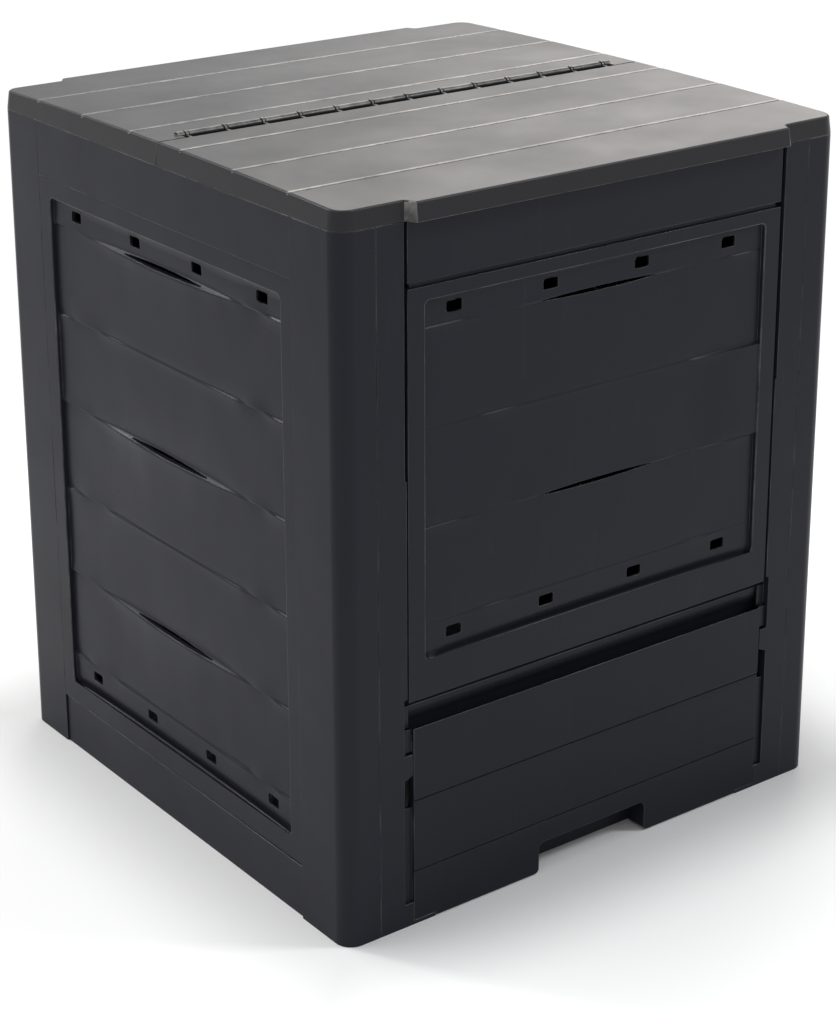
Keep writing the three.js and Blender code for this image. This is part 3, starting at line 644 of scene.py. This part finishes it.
class BoardWall:
    """A wall's board panel while it is shaped: its piece, its directions and its recessed field."""

    def __init__(self, sizes, wall, node, field, depth, face):
        self.sizes = sizes
        self.wall = wall
        self.node = node
        self.right, self.inward = WALLS[wall]
        self.first, self.last, self.bottom, self.top = field
        self.depth = depth
        self.face = face
        self.joints = [z for z in BOARD_JOINTS if z > self.bottom + FIELD_MARGIN]
        self.piece = merged_copy(node)

    def place(self, co):
        """A place on the wall: across from its left edge, in from its outer face, and up."""
        return co.dot(self.right) + HALF_WIDTH, co.dot(self.inward) + HALF_WIDTH, co.z

    def in_field(self, u):
        return self.first - NEAR < u < self.last + NEAR

    def pick(self, kind, test):
        return pick(self.piece, kind, test)

    def split_frame(self):
        """Splits the frame's face above and below the recess's middle and not at its corners."""
        middle = (self.first + self.last) / 2

        def on_frame(f):
            return f.normal.dot(self.inward) < -FACES and all(
                abs(self.place(v.co)[1] - self.face) < NEAR for v in f.verts)

        def stray_split(edge):
            return (len(edge.link_faces) == 2 and all(on_frame(f) for f in edge.link_faces)
                    and any(abs(self.place(v.co)[0] - middle) > NEAR for v in edge.verts))

        work_on(self.piece)
        cut_across(self.piece, on_frame, [(self.right * (middle - HALF_WIDTH), self.right)])
        if self.pick("edges", stray_split):
            bpy.ops.mesh.dissolve_edges(use_verts=False)

    def flatten_joints(self):
        """Flattens the V of each joint, so that only the boards' own steps show."""
        def in_groove(vertex):
            u, depth, z = self.place(vertex.co)
            return (self.in_field(u) and self.depth + NEAR / 4 < depth < self.depth + GROOVE_DEPTH
                    and any(abs(z - joint) < GROOVE_HALF + NEAR for joint in self.joints))

        self.pick("verts", in_groove)
        squeeze = [1 - (1 - self.sizes.joint_depth) * abs(n) for n in self.inward]
        bpy.ops.transform.resize(value=squeeze, center_override=self.inward * (self.depth - HALF_WIDTH))

    def narrow_slits(self):
        """Narrows the mouths of the air slits, at every other joint, to what the boards' lips leave."""
        left, right = (self.first + (self.last - self.first) * share for share in SLIT_SHARES)
        shorten = [1 - (1 - self.sizes.slit_length) * abs(n) for n in self.right]

        def on_slit(co, joint, depths):
            u, depth, z = self.place(co)
            return (left < u < right and any(abs(depth - level) < NEAR for level in depths)
                    and abs(z - joint + SLIT_DROP) < self.sizes.slit_reach)

        outer, inner = self.depth, self.depth + BOARD_WALL
        for joint in self.joints:
            if BOARD_JOINTS.index(joint) % 2:
                continue
            if self.pick("verts", lambda v, at=joint: on_slit(v.co, at, (outer,))):
                bpy.ops.transform.resize(
                    value=(1, 1, self.sizes.slit_share), center_override=(0, 0, joint - SLIT_DROP))
            if self.pick("verts", lambda v, at=joint: on_slit(v.co, at, (outer, inner))):
                bpy.ops.transform.resize(value=shorten, center_override=(0, 0, joint))

    def round_corners(self):
        """Rounds the corners of the recess and of the vents."""
        corners = [(u, z) for u in (self.first, self.last) for z in (self.bottom, self.top)]
        vents = (self.top - VENT_LEVELS[0], self.bottom + VENT_LEVELS[1])

        def on_corner(u, depth, z):
            return depth < self.depth + NEAR and any(
                abs(u - across) < NEAR and abs(z - up) < NEAR for across, up in corners)

        def on_vent(u, _, z):
            return self.first < u < self.last and any(
                abs(abs(z - level) - VENT_HALF) < NEAR for level in vents)

        self.round_inward_edges(on_corner, RECESS_CORNERS, self.sizes.recess_radius, 4)
        self.round_inward_edges(on_vent, VENT_CORNERS, self.sizes.vent_radius, 3)

    def round_inward_edges(self, test, least, radius, segments):
        """Rounds the edges that run into the wall, at places that pass a test."""
        def inward_edge(edge):
            a, b = (self.place(v.co) for v in edge.verts)
            return (abs(a[1] - b[1]) > NEAR and abs(a[0] - b[0]) < NEAR and abs(a[2] - b[2]) < NEAR
                    and test(*a) and test(*b))

        if self.pick("edges", inward_edge) < least:
            raise RuntimeError(f"{self.node} lacks corners to round")
        bpy.ops.mesh.bevel(offset=radius, segments=segments, affect="EDGES", clamp_overlap=False)

    def round_outline(self):
        """Rounds the recess's outline more than the other edges, but for its lower side."""
        reach = self.sizes.recess_radius + NEAR

        def on_outline(edge):
            ends = [self.place(v.co) for v in edge.verts]
            if len(edge.link_faces) != 2 or any(abs(depth - self.face) > NEAR for _, depth, _ in ends):
                return False
            if min(f.normal.dot(-self.inward) for f in edge.link_faces) > LEANS:
                return False
            if not all(self.in_field(u) and self.bottom - NEAR < z < self.top + NEAR for u, _, z in ends):
                return False
            on_side = all(min(abs(u - self.first), abs(u - self.last)) < reach for u, _, _ in ends)
            return on_side or min(z for _, _, z in ends) > self.top - reach

        if not self.pick("edges", on_outline):
            raise RuntimeError(f"{self.node} has no recess outline")
        # The outline's bevel takes the pale finish, which paints a highlight and wear along it
        bpy.ops.mesh.bevel(
            offset=self.sizes.outline_radius, segments=3, affect="EDGES", clamp_overlap=False, material=1)
        bpy.ops.object.mode_set(mode="OBJECT")
        round_edges(self.piece, self.sizes.edge_radius * self.sizes.fine_share)

    def sink_foot(self):
        """Lets the recess's lower side slope down behind the frame, on both skins, and keeps its edge in
        the plain finish, without the painted highlight.
        """
        def on_lower_edge(face):
            _, depth, z = self.place(face.calc_center_median())
            return abs(z - self.bottom) < MM and depth < self.depth - NEAR and face.normal.z > -LEANS

        def on_foot(vertex):
            u, depth, z = self.place(vertex.co)
            return (self.bottom - BOARD_WALL - NEAR < z < self.bottom + BEVEL_REACH
                    and depth > self.depth - BEVEL_REACH
                    and self.first - BOARD_WALL < u < self.last + BOARD_WALL)

        work_on(self.piece)
        self.pick("faces", on_lower_edge)
        give_slot(self.piece, 0)
        self.pick("verts", on_foot)
        bpy.ops.transform.translate(value=(0, 0, -LOW_DROP * MM))
        bpy.ops.object.mode_set(mode="OBJECT")

    def cut_boards(self):
        """Cuts the boards' outer faces finely enough to wave, and the foot of their inner faces."""
        def on_boards(face):
            u, depth, z = self.place(face.calc_center_median())
            return (abs(depth - self.depth) < BOARD_REACH and face.normal.dot(self.inward) < -FACES
                    and self.first < u < self.last and self.bottom < z < self.top)

        def on_inner_faces(face):
            _, depth, _ = self.place(face.calc_center_median())
            return face.normal.dot(self.inward) > FACES and abs(depth - self.depth - BOARD_WALL) < NEAR

        width, height = self.last - self.first, self.top - self.bottom
        columns, rows = int(width / self.sizes.wave_step), int(height / self.sizes.wave_step)
        across = [self.first + width * i / columns - HALF_WIDTH for i in range(1, columns)]
        levels = [self.bottom + height * i / rows for i in range(1, rows)]
        levels = [z for z in levels if all(abs(z - joint) > JOINT_CLEAR for joint in self.joints)]
        levels += [joint + row * MM for joint in self.joints for row in JOINT_ROWS]
        foot_levels = [self.bottom + rise * MM for rise in LOW_ROWS]
        levels = [z for z in levels + foot_levels if self.bottom < z < self.top]
        work_on(self.piece)
        upright_planes = [(self.right * u, self.right) for u in across]
        cut_across(self.piece, on_boards, upright_planes + level_planes(levels))
        cut_across(self.piece, on_inner_faces, level_planes(foot_levels))
        bpy.ops.object.mode_set(mode="OBJECT")

    def wave_boards(self):
        """Moves every place on the boards out or in by its step, wave or dip."""
        moves = {v.index: self.rise(*self.place(v.co)) for v in self.piece.data.vertices}
        push(self.piece, moves, -self.inward)

    def rise(self, u, depth, z):
        """How far a place on the wall stands out."""
        amount = 0
        if self.wall == "left" and depth < self.depth + MM:
            left, right = PANEL_EDGES
            amount += self.sizes.askew * min(1, max(0, (right - u) / (right - left)))
        if not self.in_field(u) or depth < self.depth - WAVE_REACH:
            return amount
        share = (u - self.first) / (self.last - self.first)
        if self.bottom < z < self.top and depth < self.depth + MM:
            amount += MM * sum(self.step(i, share, (z - joint) / MM) for i, joint in enumerate(self.joints))
            if self.wall == "front" and self.joints[2] < z < self.joints[1]:
                amount += self.sizes.end_lift * eased(END_LINE, share)
        if z < self.bottom + LOW_ZONE:
            amount -= MM * self.low_dip(share, max(0, z - self.bottom) / MM)
        return amount

    def low_dip(self, share, rise):
        """How far the lowest board's lip sinks in, in mm, at a height above the recess's lower edge."""
        lens = math.sqrt(math.sin(math.pi * min(1, max(0, share))))
        return LOW_DIP * lens * math.exp(-rise / LOW_FADE)

    def step(self, index, share, above):
        """How far a board stands out, in mm, at a height above a joint, which counts from the top."""
        front_lines, side_lines = (FRONT_ODD_JOINT, FRONT_EVEN_JOINT), (SIDE_ODD_JOINT, SIDE_EVEN_JOINT)
        height = eased((front_lines if self.wall == "front" else side_lines)[index % 2], share)
        if abs(height) < LEAST_STEP:
            return 0
        if height < 0:
            rim = PROUD_RIM if above > 0 else -SUNK_RIM
            return -height * rim * math.exp(-abs(above) / STEP_FADE)
        upper, lower = SHOULDER_ABOVE * height, -SHOULDER_BELOW * height
        step = min(STEP_SLOPE * height, STEP_LIMIT)
        if above >= upper:
            return -DIP_SHARE * step * math.exp((upper - above) / (DIP_FADE * height))
        if above <= lower:
            return PROUD_SHARE * step * math.exp((above - lower) / (PROUD_FADE * height))
        t = (above - lower) / (upper - lower)
        return step * (PROUD_SHARE - (PROUD_SHARE + DIP_SHARE) * t)


class COMPOSTBIN_OT_board_panels(bpy.types.Operator):
    """The four walls' board panels, with lapped and slightly waved boards in a recessed field"""

    bl_idname = "compost_bin.board_panels"
    bl_label = "Board panels"

    def execute(self, context):
        for row in PANELS:
            panel = BoardWall(context.scene.compost_bin_sizes, *row)
            panel.split_frame()
            panel.flatten_joints()
            panel.narrow_slits()
            panel.round_corners()
            panel.round_outline()
            panel.sink_foot()
            panel.cut_boards()
            panel.wave_boards()
            finish_piece(panel.piece, panel.node, "body", finish_of("body"))
        return {"FINISHED"}


class COMPOSTBIN_OT_harvest_door(bpy.types.Operator):
    """The lift-out harvest door: three lapped boards over a finger notch"""

    bl_idname = "compost_bin.harvest_door"
    bl_label = "Harvest door"

    def execute(self, context):
        sizes = context.scene.compost_bin_sizes
        piece = merged_copy("harvest_door")
        self.lap_boards(piece, sizes)
        round_edges(piece, sizes.edge_radius)
        self.plain_joints(piece, sizes)
        self.sink_top(piece, sizes)
        self.step_boards(piece)
        finish_piece(piece, "harvest_door", "door", finish_of("door"))
        return {"FINISHED"}

    def lap_boards(self, piece, sizes):
        """Draws the bottom of each joint's groove down behind the board below."""
        work_on(piece)
        if not pick(piece, "verts", lambda v: NEAR < v.co.y + HALF_WIDTH < GROOVE_DEPTH
                    and any(abs(v.co.z - joint) < NEAR for joint in DOOR_JOINTS)):
            raise RuntimeError("the door has no board joints")
        bpy.ops.transform.translate(value=(0, 0, -sizes.door_lap))
        bpy.ops.object.mode_set(mode="OBJECT")

    def plain_joints(self, piece, sizes):
        """Keeps the joints between the boards in the plain finish, without the pale edge's painted
        highlight and wear.
        """
        def on_joint(face):
            middle = face.calc_center_median()
            return middle.y < -HALF_WIDTH + DOOR_FRONT and any(
                abs(middle.z - joint) < sizes.joint_zone for joint in DOOR_JOINTS)

        work_on(piece)
        pick(piece, "faces", on_joint)
        give_slot(piece, 0)

    def sink_top(self, piece, sizes):
        """Sinks the top return behind the front skin."""
        if not pick(piece, "verts", lambda v: v.co.z > DOOR_TOP - DOOR_SKIN - BEVEL_REACH
                    and v.co.y > -HALF_WIDTH + DOOR_SKIN - NEAR and abs(v.co.x) < DOOR_INNER):
            raise RuntimeError("the door has no top return")
        bpy.ops.transform.translate(value=(0, 0, -sizes.top_sink))

    def step_boards(self, piece):
        """Lets each board's lower edge stand a little over the one below."""
        def on_front(face):
            return face.normal.y < -FACES and abs(face.calc_center_median().y + HALF_WIDTH) < NEAR

        levels = [joint + row * MM for joint in DOOR_JOINTS for row in DOOR_ROWS]
        cut_across(piece, on_front, level_planes(levels))
        bpy.ops.object.mode_set(mode="OBJECT")
        moves, reach = {}, DOOR_ROWS[-1]
        for vertex in piece.data.vertices:
            for joint in DOOR_JOINTS:
                above = (vertex.co.z - joint) / MM
                if -reach < above < NEAR / MM and vertex.co.y < -HALF_WIDTH + DOOR_FRONT:
                    moves[vertex.index] = DOOR_STEP * MM * (1 - max(0, -above) / reach)
        push(piece, moves, Vector((0, 1, 0)))


class COMPOSTBIN_OT_lid_halves(bpy.types.Operator):
    """The two lid halves, with their rounded outline, board grooves and hook hinge"""

    bl_idname = "compost_bin.lid_halves"
    bl_label = "Lid halves"

    def execute(self, context):
        sizes = context.scene.compost_bin_sizes
        for node, body, side in (("lid_front_half", "lid_front", -1), ("lid_rear_half", "body", 1)):
            piece = merged_copy(node)
            work_on(piece)
            self.deepen_grooves(piece, sizes)
            self.round_outline(piece, sizes, side)
            round_edges(piece, sizes.edge_radius * sizes.fine_share)
            self.rub(piece, side)
            finish_piece(piece, node, body, finish_of("lid"))
        return {"FINISHED"}

    def deepen_grooves(self, piece, sizes):
        """Deepens the grooves, and lets the boards fall towards the groove in front of them."""
        pick(piece, "verts", lambda v: v.co.z > LID_EDGE - LID_GROOVE_DEPTH
             and any(abs(abs(v.co.y) - groove) < NEAR for groove in LID_GROOVES))
        bpy.ops.transform.translate(value=(0, 0, -sizes.groove_deepening))
        planes = [(Vector((0, y + SHOULDER, 0)), Vector((0, 1, 0))) for y in LID_FAR_EDGES]
        cut_across(piece, lambda f: f.normal.z > FACES and f.calc_center_median().z > LID_EDGE - MM, planes)
        pick(piece, "verts", lambda v: v.co.z > LID_EDGE - MM
             and any(abs(v.co.y - y) < NEAR for y in LID_FAR_EDGES))
        bpy.ops.transform.translate(value=(0, 0, -sizes.groove_shoulder))

    def round_outline(self, piece, sizes, side):
        """Rounds the lid's upper outline, but not the edge along the hinge."""
        def on_rim(co):
            return (co.z > LID_EDGE - RIM_DROP
                    and (side * (co.y - SPLIT_PLACE) > RIM_DROP or abs(co.x) > HALF_WIDTH - RIM_SIDE))

        def near_outline(co):
            return abs(co.x) > HALF_WIDTH - RIM_BAND[0] or abs(co.y) > HALF_WIDTH - RIM_BAND[1]

        def outline(edge):
            if len(edge.link_faces) != 2 or edge.calc_face_angle(0) < RIM_ANGLE:
                return False
            lower, higher = sorted(abs(f.normal.z) for f in edge.link_faces)
            return (lower < RIM_UPRIGHT and higher > RIM_LEVEL and all(on_rim(v.co) for v in edge.verts)
                    and any(near_outline(v.co) for v in edge.verts))

        pick(piece, "edges", outline)
        bpy.ops.mesh.bevel(offset=sizes.lid_edge_radius, segments=4, affect="EDGES", clamp_overlap=False)
        bpy.ops.object.mode_set(mode="OBJECT")

    def rub(self, piece, side):
        """Gives the hinge, the lip's ends and the grooves' edges the pale finish all over, as a painted
        highlight.
        """
        work_on(piece)
        pick(piece, "faces", lambda f: self.rubbed(f, f.calc_center_median(), side))
        give_slot(piece, 1)
        bpy.ops.object.mode_set(mode="OBJECT")

    def rubbed(self, face, middle, side):
        """True where the highlight is painted: on the grooves' shoulders and far walls, the hinge's top and
        the lip's curved ends.
        """
        behind = [middle.y - y for y in LID_FAR_EDGES]
        if middle.z > LID_EDGE - SHOULDER_DROP and face.normal.z > SHOULDER_LEVEL and any(
                -NEAR < gap < SHOULDER for gap in behind):
            return True
        if side > 0 and middle.z > LID_EDGE - LID_WALL_DROP and face.normal.y < -RIM_UPRIGHT and any(
                -2 * GROOVE_HALF < gap < NEAR for gap in behind):
            return True
        if (abs(middle.x) < HINGE_HALF and HINGE_DEPTHS[0] < middle.y < HINGE_DEPTHS[1]
                and face.normal.z > HINGE_UP and face.calc_area() < HINGE_AREA and middle.z > LID_EDGE):
            return True
        return (LIP_ENDS[0] < abs(middle.x) < LIP_ENDS[1] and middle.y < -HALF_WIDTH
                and abs(face.normal.x) > RIM_UPRIGHT)


class COMPOSTBIN_OT_stage(bpy.types.Operator):
    """White floor and surroundings, soft lamps, and the camera at the photograph's angle"""

    bl_idname = "compost_bin.stage"
    bl_label = "Stage"

    def execute(self, context):
        self.floor()
        self.surroundings(context.scene)
        self.lamps(context.scene)
        self.camera(context.scene)
        return {"FINISHED"}

    def floor(self):
        """A white painted floor that keeps the contact shadow and fades to white further out."""
        bpy.ops.object.select_all(action="DESELECT")
        bpy.ops.mesh.primitive_plane_add(size=FLOOR_SIZE)
        floor = bpy.context.object
        floor.name = "studio_floor"
        material = bpy.data.materials.new("white_painted_floor")
        material.use_nodes = True
        tree = material.node_tree
        tree.nodes.clear()
        paint = add_node(tree, "ShaderNodeBsdfDiffuse", Color=(*linear("#f8f8f8"), 1)).outputs["BSDF"]
        place = add_node(tree, "ShaderNodeTexCoord").outputs["Object"]
        across = self.from_middle(tree, place)
        # Near the bin, which shades it, the floor is lifted to white outside the contact shadow.
        near = add_node(
            tree, "ShaderNodeMapRange", {"interpolation_type": "SMOOTHSTEP"}, Value=across,
            From_Min=0.3, From_Max=0.46, To_Max=0.28,
        )
        fade = add_node(
            tree, "ShaderNodeMapRange", {"interpolation_type": "SMOOTHSTEP"}, Value=across,
            From_Min=0.8, From_Max=1.5, To_Min=1.0, To_Max=0.0,
        )
        level = add_node(
            tree, "ShaderNodeMath", {"operation": "MULTIPLY"},
            {0: near.outputs["Result"], 1: fade.outputs["Result"]})
        glow = add_node(
            tree, "ShaderNodeEmission", Color=(1, 1, 1, 1), Strength=level.outputs["Value"])
        both = add_node(
            tree, "ShaderNodeAddShader", numbered={0: paint, 1: glow.outputs["Emission"]})
        mix = add_node(
            tree, "ShaderNodeMixShader",
            numbered={0: self.seen_directly(tree), 1: paint, 2: both.outputs["Shader"]})
        add_node(tree, "ShaderNodeOutputMaterial", Surface=mix.outputs["Shader"])
        floor.data.materials.append(material)

    def from_middle(self, tree, place):
        """The larger of a place's distances from the middle, along X and along Y."""
        absolute = add_node(tree, "ShaderNodeVectorMath", {"operation": "ABSOLUTE"}, {0: place})
        parts = add_node(tree, "ShaderNodeSeparateXYZ", Vector=absolute.outputs["Vector"]).outputs
        larger = add_node(
            tree, "ShaderNodeMath", {"operation": "MAXIMUM"}, {0: parts["X"], 1: parts["Y"]})
        return larger.outputs["Value"]

    def seen_directly(self, tree):
        """One for rays from the camera, a mirror or clear plastic, and zero for diffuse light."""
        ray = add_node(tree, "ShaderNodeLightPath").outputs
        either = add_node(
            tree, "ShaderNodeMath", {"operation": "MAXIMUM"},
            {0: ray["Is Camera Ray"], 1: ray["Is Glossy Ray"]})
        all_three = add_node(
            tree, "ShaderNodeMath", {"operation": "MAXIMUM"},
            {0: either.outputs["Value"], 1: ray["Is Transmission Ray"]})
        return all_three.outputs["Value"]

    def surroundings(self, scene):
        """A white world that lights the bin at half the strength at which it is seen."""
        world = bpy.data.worlds.new("white_surroundings")
        scene.world = world
        world.use_nodes = True
        tree = world.node_tree
        tree.nodes.clear()
        level = add_node(
            tree, "ShaderNodeMapRange", Value=self.seen_directly(tree), To_Min=LIT_SHARE)
        sky = add_node(tree, "ShaderNodeBackground", Color=(1, 1, 1, 1), Strength=level.outputs["Result"])
        add_node(tree, "ShaderNodeOutputWorld", Surface=sky.outputs["Background"])

    def lamps(self, scene):
        """Broad suns for soft shadows, and two narrower ones for the edges' highlights."""
        for name, towards, spread, strength, tint in LAMPS:
            data = bpy.data.lights.new(name, "SUN")
            data.angle = math.radians(spread)
            data.energy = strength
            data.color = tint
            lamp = bpy.data.objects.new(name, data)
            lamp.location = Vector(towards) * LAMP_DISTANCE
            lamp.rotation_euler = Vector(towards).to_track_quat("Z", "Y").to_euler()
            scene.collection.objects.link(lamp)

    def camera(self, scene):
        """The photograph's camera, with a small part of its lens shift."""
        data = bpy.data.cameras.new("photo_camera")
        data.lens = CAMERA_LENS
        data.shift_x, data.shift_y = CAMERA_SHIFT
        data.clip_end = CAMERA_REACH
        camera = bpy.data.objects.new("photo_camera", data)
        camera.location = CAMERA_PLACE
        camera.rotation_euler = (math.radians(90 - CAMERA_PITCH), 0, math.radians(-CAMERA_YAW))
        scene.collection.objects.link(camera)
        scene.camera = camera


OPERATORS = (
    COMPOSTBIN_OT_frame_members,
    COMPOSTBIN_OT_board_panels,
    COMPOSTBIN_OT_harvest_door,
    COMPOSTBIN_OT_lid_halves,
    COMPOSTBIN_OT_stage,
)


class COMPOSTBIN_PT_sidebar(bpy.types.Panel):
    """The bin's settings and the operators that build it"""

    bl_idname = "COMPOSTBIN_PT_sidebar"
    bl_label = "Compost Bin"
    bl_space_type = "VIEW_3D"
    bl_region_type = "UI"
    bl_category = "Compost Bin"

    def draw(self, context):
        for settings in (context.scene.compost_bin_sizes, context.scene.compost_bin_colours):
            for key in settings.__annotations__:
                self.layout.prop(settings, key)
        for operator in OPERATORS:
            self.layout.operator(operator.bl_idname)


CLASSES = (CompostBinSizes, CompostBinColours, *OPERATORS, COMPOSTBIN_PT_sidebar)


def register():
    for cls in CLASSES:
        bpy.utils.register_class(cls)
    bpy.types.Scene.compost_bin_sizes = bpy.props.PointerProperty(type=CompostBinSizes)
    bpy.types.Scene.compost_bin_colours = bpy.props.PointerProperty(type=CompostBinColours)


def unregister():
    del bpy.types.Scene.compost_bin_colours
    del bpy.types.Scene.compost_bin_sizes
    for cls in reversed(CLASSES):
        bpy.utils.unregister_class(cls)


def main():
    register()
    scene = bpy.context.scene
    scene.view_settings.view_transform = "Standard"
    bpy.ops.compost_bin.frame_members()
    bpy.ops.compost_bin.board_panels()
    bpy.ops.compost_bin.harvest_door()
    bpy.ops.compost_bin.lid_halves()
    bpy.ops.compost_bin.stage()


if __name__ == "__main__":
    main()
